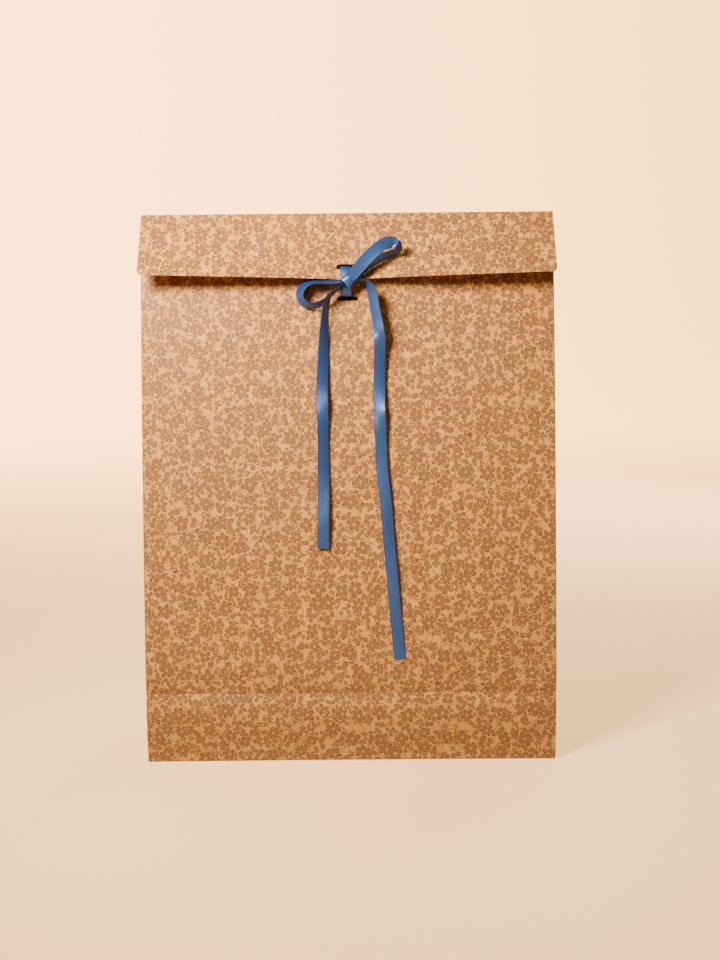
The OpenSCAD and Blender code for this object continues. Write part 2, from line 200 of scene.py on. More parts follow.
leftLoop = [
    [[0, -16, 279.4], [0, -1, 0]], [[-4, -16.2, 279.2], [0, -1, -0.3]],
    [[-8, -16, 279.2], [0, -1, -0.4]], [[-13, -15.5, 279.3], [0, -1, -0.4]],
    [[-18, -15.2, 279.5], [0.1, -1, -0.4]], [[-22.5, -15, 278.8], [0.4, -0.9, -0.4]],
    [[-26, -15, 276.4], [0.6, -0.8, -0.2]], [[-27.6, -15.2, 273], [0.65, -0.8, 0]],
    [[-27.2, -15.5, 269.5], [0.6, -0.8, 0.3]], [[-25, -15.8, 266.8], [0.4, -0.8, 0.5]],
    [[-21.5, -16, 265.4], [0, -0.8, 0.55]], [[-17.5, -16, 265.6], [-0.2, -0.85, 0.5]],
    [[-13.5, -16, 267.6], [-0.2, -0.9, 0.4]], [[-10, -16, 270.8], [-0.2, -1, 0.3]],
    [[-6.5, -16, 274.2], [-0.2, -1, 0.2]], [[-3, -16, 277.2], [0, -1, 0]], [[0, -16, 279], [0, -1, 0]]]
rightLoop = [
    [[0.5, -17, 279.6], [0.7, 0, -0.7]], [[3, -19.3, 282.4], [0.75, 0, -0.65]],
    [[7, -21.2, 287.2], [0.75, 0, -0.65]], [[11.5, -22, 292.3], [0.75, 0, -0.65]],
    [[16.5, -22, 296.8], [0.68, 0, -0.73]], [[21.5, -21.6, 300.2], [0.55, 0.1, -0.8]],
    [[25.6, -20.8, 301], [0.45, 0.3, -0.85]], [[28.4, -19.4, 299.6], [0.7, 0.6, -0.4]],
    [[29.2, -17.8, 297], [0.6, 0.75, -0.2]], [[27.8, -16.6, 295.6], [0.4, 0.85, -0.35]],
    [[23.9, -16.2, 294.1], [0.35, 0.8, -0.5]], [[18.8, -16.6, 292], [0.4, 0.72, -0.57]],
    [[13.4, -17, 289], [0.4, 0.72, -0.57]], [[8.6, -17.5, 285.4], [0.4, 0.72, -0.57]],
    [[5, -17.6, 281.8], [0.45, 0.6, -0.6]], [[1.5, -16.6, 279.8], [0.5, 0.4, -0.7]]]
leftTail = [
    [[0, -16, 278.2], [0.4, 0.8, 0.4]], [[-4, -16.8, 276.2], [0.4, 0.9, 0.3]],
    [[-8, -17, 273.4], [0.45, 0.9, 0.2]], [[-11, -16.8, 269.4], [0.5, 0.85, 0]],
    [[-12.4, -16.8, 263], [0.55, 0.8, 0]], [[-13, -17, 256], [0.66, 0.74, 0]],
    [[-13.5, -17.3, 249], [0.78, 0.62, 0]], [[-14, -17.9, 240], [0.86, 0.5, 0]],
    [[-14.2, -19.2, 231.5], [0.92, 0.38, 0]], [[-14.8, -21.2, 221.5], [0.97, 0.2, 0]],
    [[-15, -23.6, 211], [1, -0.12, 0]], [[-14.8, -24.8, 203], [0.98, 0.12, 0]],
    [[-14.6, -25.2, 195], [0.92, 0.35, 0]], [[-14.5, -26, 184], [0.94, 0.3, 0]],
    [[-14.6, -27.4, 171.5], [0.97, 0.2, 0]], [[-14.8, -29.8, 156], [1, -0.1, 0]],
    [[-15, -31.9, 144], [1, -0.2, 0]], [[-15.1, -32.6, 136], [1, -0.05, 0]],
    [[-15.2, -32.9, 126], [1, 0, 0]]]
rightTail = [
    [[1, -16, 279.2], [0, -1, 0]], [[4, -16.4, 279.6], [0, -1, 0]], [[8, -17, 279.6], [0.1, -1, 0.1]],
    [[11.2, -17.6, 278.6], [0.4, -0.9, 0.2]], [[13.4, -18, 275.6], [0.7, -0.7, 0.2]],
    [[14.6, -18.3, 271.5], [0.8, -0.6, 0]], [[15.4, -18.8, 265], [0.82, -0.58, 0]],
    [[17, -19.8, 257], [0.84, -0.54, 0]], [[18.1, -20.9, 251], [0.88, -0.47, 0]],
    [[18.6, -20.9, 246.5], [0.99, -0.05, 0]], [[18.7, -20.4, 240], [1, 0.2, 0]],
    [[18.5, -20, 231.5], [1, 0.2, 0]], [[18.2, -20.8, 221.5], [1, 0.1, 0]],
    [[18, -22.8, 211], [0.98, -0.15, 0]], [[18.2, -24.4, 204], [0.94, -0.34, 0]],
    [[18.5, -25, 197], [1, -0.1, 0]], [[18.8, -25.6, 188], [1, 0.05, 0]],
    [[19.3, -27.3, 171], [0.99, -0.15, 0]], [[21.3, -29.4, 153.5], [1, -0.05, 0]],
    [[22.7, -31.4, 136], [1, 0.1, 0]], [[24, -33.5, 118], [0.99, -0.1, 0]],
    [[25.5, -35.2, 100], [1, -0.15, 0]], [[27, -36.9, 82], [1, 0, 0]], [[29, -38.9, 61], [1, 0, 0]]]


def makeTapeTree():
    # A flat tape along a curve: rounded edges, a slight crown, its width and length kept as UV metres
    tree = bpy.data.node_groups.new("ribbonTape", "GeometryNodeTree")
    face = tree.interface
    face.new_socket("Geometry", in_out="INPUT", socket_type="NodeSocketGeometry")
    for name in ("Width", "Thickness", "Crown"):
        face.new_socket(name, in_out="INPUT", socket_type="NodeSocketFloat")
    face.new_socket("Material", in_out="INPUT", socket_type="NodeSocketMaterial")
    face.new_socket("Geometry", in_out="OUTPUT", socket_type="NodeSocketGeometry")
    given = addNode(tree, "NodeGroupInput")
    width, thickness, crown = (given.outputs[n] for n in ("Width", "Thickness", "Crown"))
    line = addNode(tree, "GeometryNodeMeshToCurve", out=0, Mesh=given.outputs["Geometry"])
    normal = addNode(tree, "GeometryNodeInputNamedAttribute", {"data_type": "FLOAT_VECTOR"}, out=0,
                     Name="across")
    line = addNode(tree, "GeometryNodeSetCurveNormal", {"mode": "FREE"}, out=0, Curve=line, Normal=normal)
    travel = addNode(tree, "GeometryNodeSplineParameter")
    kept = addNode(tree, "GeometryNodeCaptureAttribute", Geometry=line)
    kept.capture_items.new("FLOAT", "along")
    tree.links.new(travel.outputs["Length"], kept.inputs[1])
    pinch = addNode(tree, "GeometryNodeInputNamedAttribute", {"data_type": "FLOAT"}, out=0, Name="pinch")
    outline = addNode(tree, "GeometryNodeCurvePrimitiveQuadrilateral", out=0, Width=width, Height=thickness)
    radius = mathNode(tree, "MULTIPLY", thickness, 0.4)
    outline = addNode(tree, "GeometryNodeFilletCurve", {"mode": "POLY"}, out=0, Curve=outline, Radius=radius)
    outline = addNode(tree, "GeometryNodeResampleCurve", {"mode": "COUNT"}, out=0, Curve=outline,
                      Count=ribbonSet["profilePoints"])
    place = addNode(tree, "GeometryNodeInputPosition", out=0)
    side = addNode(tree, "ShaderNodeSeparateXYZ", out=0, i0=place)
    share = mathNode(tree, "DIVIDE", side, width)
    share = mathNode(tree, "MULTIPLY", share, share)
    drop = mathNode(tree, "MULTIPLY", share, crown)
    drop = mathNode(tree, "MULTIPLY", drop, -4.0)
    shift = addNode(tree, "ShaderNodeCombineXYZ", out=0, Y=drop)
    held = addNode(tree, "GeometryNodeCaptureAttribute", Geometry=outline)
    held.capture_items.new("FLOAT", "across")
    tree.links.new(side, held.inputs[1])
    profile = addNode(tree, "GeometryNodeSetPosition", out=0, Geometry=held.outputs[0], Offset=shift)
    tape = addNode(tree, "GeometryNodeCurveToMesh", out=0, Curve=kept.outputs[0], Profile_Curve=profile,
                   Scale=pinch, Fill_Caps=True)
    flat = addNode(tree, "ShaderNodeCombineXYZ", out=0, X=held.outputs[1], Y=kept.outputs[1])
    tape = addNode(tree, "GeometryNodeStoreNamedAttribute", {"data_type": "FLOAT2", "domain": "CORNER"},
                   out=0, Geometry=tape, Name="UVMap", Value=flat)
    tape = addNode(tree, "GeometryNodeRealizeInstances", out=0, Geometry=tape)
    tape = addNode(tree, "GeometryNodeSetMaterial", out=0, Geometry=tape, Material=given.outputs["Material"])
    addNode(tree, "NodeGroupOutput", Geometry=tape)
    return tree


tapeTree = makeTapeTree()


def splineThrough(route, steps, closed=False):
    # Points and side directions smoothly between the route's own ones, in metres
    data = np.array([list(p) + list(unit(a)) for p, a in route], float)
    count = len(data)
    padded = np.vstack([data[-1:], data, data[:2]]) if closed else \
        np.vstack([2 * data[0] - data[1], data, 2 * data[-1] - data[-2]])
    rows = []
    for i in range(count if closed else count - 1):
        p0, p1, p2, p3 = padded[i:i + 4]
        for t in np.arange(steps) / steps:
            rows.append(0.5 * (2 * p1 + (p2 - p0) * t + (2 * p0 - 5 * p1 + 4 * p2 - p3) * t ** 2
                               + (3 * p1 - p0 - 3 * p2 + p3) * t ** 3))
    if not closed:
        rows.append(data[-1])
    rows = np.array(rows)
    return rows[:, :3] * mm, unit(rows[:, 3:])


def makeTape(name, route, pinch=None, width=ribbonSet["width"], thickness=ribbonSet["thickness"],
             crown=ribbonSet["crown"], closed=False):
    points, across = splineThrough(route, ribbonSet["steps"], closed)
    count = len(points)
    ends = (np.roll(points, -1, 0), np.roll(points, 1, 0)) if closed else \
        (np.vstack([points[1:], points[-1:]]), np.vstack([points[:1], points[:-1]]))
    run = unit(ends[0] - ends[1])
    across = unit(across - (across * run).sum(1, keepdims=True) * run)
    edges = [(i, i + 1) for i in range(count - 1)] + ([(count - 1, 0)] if closed else [])
    mesh = bpy.data.meshes.new(name)
    mesh.from_pydata(points.tolist(), edges, [])
    mesh.attributes.new("across", "FLOAT_VECTOR", "POINT").data.foreach_set("vector", across.ravel())
    share = np.linspace(0, 1, count)
    scale = np.ones(count) if pinch is None else np.interp(share, *zip(*pinch))
    mesh.attributes.new("pinch", "FLOAT", "POINT").data.foreach_set("value", scale)
    piece = addObject(name, mesh)
    modifier = piece.modifiers.new("tape", "NODES")
    modifier.node_group = tapeTree
    ids = {s.name: s.identifier for s in tapeTree.interface.items_tree if s.in_out == "INPUT"}
    modifier[ids["Width"]], modifier[ids["Thickness"]] = width * mm, thickness * mm
    modifier[ids["Crown"]], modifier[ids["Material"]] = crown * mm, satin
    applied(piece)
    smoothFaces(piece, 40)
    return piece, points


def ribbonLength(points):
    return float(np.linalg.norm(np.diff(points, axis=0), axis=1).sum())


cordSet = {
    "leftLoop": {"route": leftLoop, "end": "object", "replaces": "ribbon_left_loop",
                 "pinch": [(0, 0.62), (0.1, 0.85), (0.2, 1), (0.8, 1), (0.92, 0.8), (1, 0.6)]},
    "rightLoop": {"route": rightLoop, "end": "object", "replaces": "ribbon_right_loop",
                  "pinch": [(0, 0.8), (0.08, 0.95), (0.2, 1), (0.85, 1), (1, 0.75)]},
    "leftTail": {"route": leftTail, "end": "bare", "replaces": "ribbon_left_tail",
                 "pinch": [(0, 0.7), (0.08, 0.9), (0.14, 1), (1, 1)]},
    "rightTail": {"route": rightTail, "end": "bare", "replaces": "ribbon_right_tail",
                  "pinch": [(0, 0.6), (0.05, 0.9), (0.08, 1), (1, 1)]}}

for pieceName, cordInfo in cordSet.items():
    ribbonPiece, centre = makeTape(pieceName, cordInfo["route"], cordInfo["pinch"])
    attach(ribbonPiece, "front")
    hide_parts(cordInfo["replaces"])
    print(pieceName, "length mm", round(ribbonLength(centre) * 1000))

for pieceName, route, node, pinch in (
        ("innerRun", innerRun, "ribbon_inner_run", None),
        ("upperStrand", upperStrand, "ribbon_upper_strand", [(0, 1), (0.55, 1), (1, 0.5)]),
        ("lowerStrand", lowerStrand, "ribbon_lower_strand", [(0, 0.5), (0.5, 0.85), (0.75, 1), (1, 1)])):
    ribbonPiece, _ = makeTape(pieceName, route, pinch)
    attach(ribbonPiece, "front")
    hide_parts(node)

knotSet = {"centre": (0.0, -16.9, 279.2), "axis": (0.78, 0, 0.62), "high": 3.3, "deep": 1.9, "width": 5.0,
           "thickness": 0.5, "crown": 0.3, "turns": 12, "skew": 0.7}


def makeKnot():
    # The ribbon's last turn, pulled tight round the crossing, over two gathered folds
    k = knotSet
    axis = unit(k["axis"])
    depth = np.array([0, -1.0, 0])
    high = unit(np.cross(axis, depth))
    route = []
    for turn in np.arange(k["turns"]) * math.tau / k["turns"]:
        skew = axis * k["skew"] * math.sin(turn)
        route.append([list(np.array(k["centre"]) + high * k["high"] * math.cos(turn)
                           + depth * k["deep"] * math.sin(turn) + skew), list(axis)])
    knot, _ = makeTape("knot", route, None, k["width"], k["thickness"], -k["crown"], closed=True)
    return knot


knotPiece = makeKnot()
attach(knotPiece, "front")
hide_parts("ribbon_knot")
print("ribbon made")

# Kraft paper, about 120 g, machine glazed outside: warm brown, fine fibres, a soft sheen.
# The print is a water-based ink of a browner tone, so the paper shows through it.
kraftSet = {"sheet": "#e4a453", "fibreDark": "#ca8a44", "fibreLight": "#efb86a", "inkWarm": "#7c5340",
            "inkCool": "#75583b", "inkLine": "#4c2f1d", "inside": "#d6a56e", "cut": "#f3d3a4",
            "roughPaper": 0.47, "roughInside": 0.61}
# Sizes of the print's motifs in mm: the spacing of their centres, their reach, and how their petals go
motifSet = {
    "blossom": {"cell": 12.6, "jitter": 0.7, "reach": 5.2, "petals": (4, 4), "body": 0.50, "shape": 1.0,
                "shift": (0.0, 0.0)},
    "leaf": {"cell": 6.6, "jitter": 0.8, "reach": 3.9, "petals": (2, 2), "body": 0.08, "shape": 1.1,
             "shift": (31.3, 17.1)},
    "bud": {"cell": 4.4, "jitter": 0.8, "reach": 1.9, "petals": (3, 3), "body": 0.55, "shape": 0.7,
            "shift": (77.7, 5.3)}}


def makeMotif(tree, space, m):
    # Returns how far out a point is in its motif (1 at the outline), the petal wave and a random value
    vectorKind = "ShaderNodeVectorMath"
    moved = addNode(tree, vectorKind, {"operation": "ADD"}, out=0, i0=space, i1=m["shift"] + (0.0,))
    cells = addNode(tree, "ShaderNodeTexVoronoi", {"voronoi_dimensions": "2D"}, Vector=moved,
                    Scale=1 / m["cell"], Randomness=m["jitter"])
    local = addNode(tree, vectorKind, {"operation": "SUBTRACT"}, out=0, i0=moved,
                    i1=cells.outputs["Position"])
    chance = addNode(tree, "ShaderNodeSeparateColor", Color=cells.outputs["Color"])
    spin = mathNode(tree, "MULTIPLY", chance.outputs[0], math.tau * 3)
    local = addNode(tree, "ShaderNodeVectorRotate", {"rotation_type": "Z_AXIS"}, out=0, Vector=local,
                    Angle=spin)
    local = addNode(tree, vectorKind, {"operation": "MULTIPLY"}, out=0, i0=local, i1=(1.0, 1.18, 0.0))
    distance = addNode(tree, vectorKind, {"operation": "LENGTH"}, out="Value", i0=local)
    parts = addNode(tree, "ShaderNodeSeparateXYZ", i0=local)
    angle = mathNode(tree, "ARCTAN2", parts.outputs[1], parts.outputs[0])
    extra = mathNode(tree, "MULTIPLY", chance.outputs[1], float(m["petals"][1]))
    extra = mathNode(tree, "FLOOR", extra)
    petals = mathNode(tree, "ADD", extra, float(m["petals"][0]))
    petals = mathNode(tree, "MULTIPLY", petals, 0.5)
    phase = mathNode(tree, "MULTIPLY", angle, petals)
    wave = mathNode(tree, "COSINE", phase)
    wave = mathNode(tree, "ABSOLUTE", wave)
    lobe = mathNode(tree, "POWER", wave, m["shape"])
    lobe = mathNode(tree, "MULTIPLY_ADD", lobe, 1 - m["body"], m["body"])
    size = mathNode(tree, "MULTIPLY_ADD", chance.outputs[2], 0.3 * m["reach"], 0.72 * m["reach"])
    reach = mathNode(tree, "MULTIPLY", lobe, size)
    ratio = mathNode(tree, "DIVIDE", distance, reach)
    return ratio, wave, chance.outputs[0]


def makePrint(tree, space):
    # Three sizes of motif and thin stems, each kept clear of the larger ones by a rim of bare paper
    wobble = noiseNode(tree, space, 0.35, 1.0, out=1)
    wobble = addNode(tree, "ShaderNodeVectorMath", {"operation": "MULTIPLY_ADD"}, out=0, i0=wobble,
                     i1=(1.6, 1.6, 0.0), i2=space)
    ink = line = tone = None
    clear = 1.0
    for name, m in motifSet.items():
        ratio, wave, chance = makeMotif(tree, wobble, m)
        inside = smoothStep(tree, ratio, 1.03, 0.95)
        rim = smoothStep(tree, ratio, 0.66, 0.93, 0.85)
        vein = smoothStep(tree, wave, 0.34, 0.08, 0.75)
        heart = smoothStep(tree, ratio, 0.16, 0.26)
        drawn = mathNode(tree, "MAXIMUM", rim, vein)
        drawn = mathNode(tree, "MULTIPLY", drawn, inside)
        if name != "leaf":
            inside = mathNode(tree, "MULTIPLY", inside, heart)
        if ink is None:
            ink, line, tone = inside, drawn, chance
        else:
            inside = mathNode(tree, "MULTIPLY", inside, clear)
            drawn = mathNode(tree, "MULTIPLY", drawn, clear)
            tone = addNode(tree, "ShaderNodeMix", out=0, Factor=inside, i2=tone, i3=chance)
            ink = mathNode(tree, "MAXIMUM", ink, inside)
            line = mathNode(tree, "MAXIMUM", line, drawn)
        apart = smoothStep(tree, ratio, 1.08, 1.22)
        clear = apart if isinstance(clear, float) else mathNode(tree, "MULTIPLY", clear, apart)
    # Stems follow the level lines of a slow noise, so they curl and never cross
    for shift in (0.0, 41.0):
        slow = addNode(tree, "ShaderNodeVectorMath", {"operation": "ADD"}, out=0, i0=wobble,
                       i1=(shift, 3.0, 0.0))
        slow = noiseNode(tree, slow, 0.11, 0.0)
        slow = mathNode(tree, "SUBTRACT", slow, 0.5)
        slow = mathNode(tree, "ABSOLUTE", slow)
        stem = smoothStep(tree, slow, 0.018, 0.008)
        stem = mathNode(tree, "MULTIPLY", stem, clear)
        ink = mathNode(tree, "MAXIMUM", ink, stem)
        line = mathNode(tree, "MAXIMUM", line, stem)
    return ink, line, tone


def makeKraft(name, sheetColour, printed, cutEdge=False):
    material = bpy.data.materials.new(name)
    material.use_nodes = True
    tree = material.node_tree
    tree.nodes.clear()
    k = kraftSet
    uv = addNode(tree, "ShaderNodeUVMap", {"uv_map": "UVMap"}, out=0)
    space = addNode(tree, "ShaderNodeVectorMath", {"operation": "SCALE"}, out=0, i0=uv, Scale=1000.0)
    fibreSpace = addNode(tree, "ShaderNodeMapping", out=0, Vector=space, Scale=(1.9, 0.55, 1),
                         Rotation=(0, 0, 0.12))
    fibres = noiseNode(tree, fibreSpace, 1.0, 4.0, roughness=0.65)
    cloud = noiseNode(tree, space, 0.09, 3.0)
    grain = noiseNode(tree, space, 2.6, 2.0)
    dark = addNode(tree, "ShaderNodeMapRange", out=0, Value=fibres, i1=0.56, i2=0.40, i3=0.0, i4=0.55)
    light = addNode(tree, "ShaderNodeMapRange", out=0, Value=cloud, i1=0.45, i2=0.75, i3=0.0, i4=0.5)
    colour = mixColour(tree, dark, toLinear(sheetColour), toLinear(k["fibreDark"]))
    colour = mixColour(tree, light, colour, toLinear(k["fibreLight"]))
    rough = mathNode(tree, "MULTIPLY_ADD", grain, 0.12, k["roughPaper"] if printed else k["roughInside"])
    if printed:
        ink, line, tone = makePrint(tree, space)
        patchy = mathNode(tree, "MULTIPLY_ADD", grain, 0.34, 0.66)
        ink = mathNode(tree, "MULTIPLY", ink, patchy)
        inkColour = mixColour(tree, tone, toLinear(k["inkWarm"]), toLinear(k["inkCool"]))
        colour = mixColour(tree, ink, colour, inkColour)
        thin = mathNode(tree, "MULTIPLY", line, 0.62)
        colour = mixColour(tree, thin, colour, toLinear(k["inkLine"]))
        rough = mathNode(tree, "MULTIPLY_ADD", ink, -0.06, rough)
    height = mathNode(tree, "ADD", fibres, grain)
    bump = addNode(tree, "ShaderNodeBump", out=0, Height=height, Strength=0.22, Distance=0.1 * mm)
    shader = addNode(tree, "ShaderNodeBsdfPrincipled", out=0, Base_Color=colour, Roughness=rough, Normal=bump,
                     IOR=1.5, Specular_IOR_Level=0.15 if cutEdge else 0.30)
    addNode(tree, "ShaderNodeOutputMaterial", i0=shader)
    return material


printedKraft = makeKraft("printedKraftPaper", kraftSet["sheet"], True)
plainKraft = makeKraft("plainKraftPaper", kraftSet["inside"], False)
cutKraft = makeKraft("cutKraftEdge", kraftSet["cut"], False, True)
paperMaterials = (printedKraft, plainKraft, cutKraft)
print("materials made")

# The paper's thickness, the numbers of its materials and the angle past which an edge stays crisp
paperSet = {"thickness": 0.3 * mm, "outside": 0, "inside": 1, "cut": 2, "crisp": 42}


def paperSheet(name, middle, flat, cut=(), flip=False, outside=paperSet["outside"]):
    # A sheet from the rows and columns of its middle surface; flat is each point's place on the flat
    # paper in metres. Sides named in cut (low, high, first, last) show the paper's cut edge.
    middle, flat = np.array(middle, float), np.array(flat, float)
    if flip:
        middle, flat = middle[:, ::-1], flat[:, ::-1]
        cut = [{"first": "last", "last": "first"}.get(c, c) for c in cut]
    rows, cols = middle.shape[:2]
    downRows = np.gradient(middle, axis=0)
    alongCols = np.gradient(middle, axis=1)
    normal = unit(np.cross(alongCols, downRows))
    half = paperSet["thickness"] / 2
    vertices = np.concatenate([(middle + normal * half).reshape(-1, 3),
                               (middle - normal * half).reshape(-1, 3)])
    uvPoints = np.concatenate([flat.reshape(-1, 2)] * 2)
    grid = np.arange(rows * cols).reshape(rows, cols)
    under = grid + rows * cols
    a, b, c, d = grid[:-1, :-1], grid[:-1, 1:], grid[1:, 1:], grid[1:, :-1]
    top = np.stack([a, b, c, d], -1).reshape(-1, 4)
    bottom = top[:, ::-1] + rows * cols
    rims = {
        "low": np.stack([grid[0, :-1], under[0, :-1], under[0, 1:], grid[0, 1:]], -1),
        "high": np.stack([grid[-1, 1:], under[-1, 1:], under[-1, :-1], grid[-1, :-1]], -1),
        "first": np.stack([grid[1:, 0], under[1:, 0], under[:-1, 0], grid[:-1, 0]], -1),
        "last": np.stack([grid[:-1, -1], under[:-1, -1], under[1:, -1], grid[1:, -1]], -1)}
    faces = np.concatenate([top, bottom] + list(rims.values()))
    slots = [outside] * len(top) + [paperSet["inside"]] * len(bottom)
    for side, quads in rims.items():
        slots += [paperSet["cut"] if side in cut else outside] * len(quads)
    mesh = bpy.data.meshes.new(name)
    mesh.from_pydata(vertices.tolist(), [], faces.tolist())
    mesh.uv_layers.new(name="UVMap").data.foreach_set("uv", uvPoints[faces.ravel()].ravel())
    mesh.polygons.foreach_set("material_index", slots)
    mesh.update()
    piece = addObject(name, mesh, paperMaterials)
    smoothFaces(piece, paperSet["crisp"])
    return piece


# Sizes of the folded bag in mm. The blank is one sheet: front 0 to 120 from its middle, then the side
# gusset to 200, then half the back to 320; u runs across it and v up from the base folds.
bagSet = {"halfWidth": 120.0, "halfDepth": 40.0, "topZ": 318.4227, "frontBow": 4.6, "backBow": 3.0,
          "creaseY": -38.5691, "creaseZ": 40.975, "mouthDrop": 18.0, "frontChord": 280.12,
          "panelLength": 321.0, "stripLength": 41.0, "tuckLow": 16.0, "tuckHigh": 39.5, "foldRound": 0.5,
          "topRound": 0.55, "stripBulge": 2.9, "stripEdge": 0.55, "creaseBelly": 4.2, "bellyReach": 14.0,
          "bellyFade": 22.0, "ripple": 0.16, "frontEdgeU": 120, "gussetU": 160, "backEdgeU": 200,
          "backMiddleU": 320, "apexV": 44}
bag = bagSet
frontLean = math.atan2(-bag["creaseY"], bag["topZ"] - bag["creaseZ"])
mouthZ = bag["creaseZ"] + (bag["frontChord"] - bag["mouthDrop"]) * math.cos(frontLean)


def ripple(x, z, seed):
    # Slow waves of well-handled paper, in mm, that fade at the side folds
    fade = np.clip((bag["halfWidth"] - np.abs(x)) / 25, 0, 1)
    waves = (np.sin(x / 17 + z / 61 + seed) * np.cos(z / 29 - x / 83 + 2 * seed)
             + 0.7 * np.sin(x / 41 - z / 23 + 3 * seed)
             + 0.4 * np.sin((x + z) / 13 + 5 * seed) * np.sin(z / 47))
    return bag["ripple"] * waves * fade


def frontY(z):
    # The front panel's y: its lean, its bow and the soft belly just above the crease
    u = (z - bag["creaseZ"]) / (bag["topZ"] - bag["creaseZ"])
    above = np.maximum(z - bag["creaseZ"], 0)
    belly = bag["creaseBelly"] * (1 - np.exp(-above / bag["bellyReach"])) * np.exp(-above / bag["bellyFade"])
    return bag["creaseY"] * (1 - u) - 4 * bag["frontBow"] * u * (1 - u) - belly


def backY(z):
    w = z / bag["topZ"]
    return bag["halfDepth"] * (1 - w) + 4 * bag["backBow"] * w * (1 - w)


def middleY(z):
    # Where the gusset's own crease lies between the panels
    u = (z - bag["creaseZ"]) / (bag["topZ"] - bag["creaseZ"])
    return (bag["creaseY"] * (1 - u) - 4 * bag["frontBow"] * u * (1 - u) + backY(z)) / 2


tuckSlope = (bag["tuckHigh"] - bag["tuckLow"]) / (mouthZ - bag["creaseZ"])


def tuckAt(z):
    # How far the gusset's crease is tucked in
    return bag["tuckLow"] + tuckSlope * (z - bag["creaseZ"])


def lengthsAlong(path):
    return np.concatenate([[0], np.cumsum(np.linalg.norm(np.diff(path, axis=0), axis=1))])


apex = np.array([bag["halfWidth"] - bag["tuckLow"], middleY(bag["creaseZ"]), bag["creaseZ"]])
edgeX = bag["halfWidth"] - bag["foldRound"]


def cutSlots(piece, places, lean):
    # Punches stadium-shaped ribbon slots through a sheet
    s = {"length": 12.5, "height": 2.3, "deep": 6.0, "arcSteps": 10}
    straight = (s["length"] - s["height"]) / 2
    ring = []
    for side in (1, -1):
        for a in np.linspace(-math.pi / 2, math.pi / 2, s["arcSteps"]):
            ring.append((side * (straight + s["height"] / 2 * math.cos(a)),
                         side * s["height"] / 2 * math.sin(a)))
    count = len(ring)
    for place in places:
        direction = np.array([0, -math.cos(lean), math.sin(lean)])
        upward = np.array([0, math.sin(lean), math.cos(lean)])
        layers = [[list((np.array(place) + np.array([x, 0, 0]) + upward * h + direction * off) * mm)
                   for x, h in ring] for off in (-s["deep"] / 2, s["deep"] / 2)]
        faces = [list(range(count))[::-1], list(range(count, 2 * count))]
        faces += [[i, (i + 1) % count, count + (i + 1) % count, count + i] for i in range(count)]
        mesh = bpy.data.meshes.new("slotCutter")
        mesh.from_pydata(layers[0] + layers[1], [], faces)
        mesh.uv_layers.new(name="UVMap")
        cutter = addObject("slotCutter", mesh, paperMaterials)
        mesh.polygons.foreach_set("material_index", [paperSet["cut"]] * len(faces))
        cut = piece.modifiers.new("slot", "BOOLEAN")
        cut.operation, cut.solver, cut.object = "DIFFERENCE", "EXACT", cutter
        applied(piece)
        bpy.data.objects.remove(cutter)
    smoothFaces(piece, paperSet["crisp"])


frontPanelSet = {"columns": 110, "lowRows": 22, "highRows": 100, "settle": 12.0, "slotDrops": (31.5, 49.7)}


def makeFrontPanel():
    f = frontPanelSet
    xs = np.linspace(-edgeX, edgeX, f["columns"])
    zs = bag["creaseZ"] + (mouthZ - bag["creaseZ"]) * np.concatenate(
        [np.linspace(0, 0.1, f["lowRows"])[:-1], np.linspace(0.1, 1, f["highRows"])])
    along = lengthsAlong(np.stack([frontY(zs), zs], 1)) + bag["stripLength"]
    x, z = np.meshgrid(xs, zs)
    settled = np.clip((z - bag["creaseZ"]) / f["settle"], 0, 1)
    y = frontY(z) - ripple(x, z, 1.3) * settled
    flat = np.stack([x, np.repeat(along[:, None], len(xs), 1)], -1) * mm
    piece = paperSheet("frontPanel", np.stack([x, y, z], -1) * mm, flat, cut=("high",))
    places = []
    for fall in f["slotDrops"]:
        u = 1 - fall / bag["frontChord"]
        z = bag["creaseZ"] + u * (bag["topZ"] - bag["creaseZ"])
        places.append((0, float(frontY(z)), z))
    cutSlots(piece, places, frontLean)
    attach(piece, "front")
    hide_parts("front_panel")


flapSet = {"length": 40.5, "corner": 3.0, "slotDrop": 32.4, "backRows": 90, "foldRows": 9, "flapRows": 26,
           "columns": 105, "cornerColumns": 9, "angleMid": 19, "angleMore": 12.5, "angleRise": 0.6,
           "lowZ": 1.0, "topReach": 45, "curlMid": 0.4, "curlMore": 2.0, "curlAt": 70, "wave": 0.12}


def flapAngle(x):
    # From the vertical: least at the middle, where the bow holds it down, and most at the ends
    spring = (np.sqrt(x * x + 100) - 10) / (math.sqrt(bag["halfWidth"] ** 2 + 100) - 10)
    return np.radians(flapSet["angleMid"] + flapSet["angleMore"] * spring ** flapSet["angleRise"])


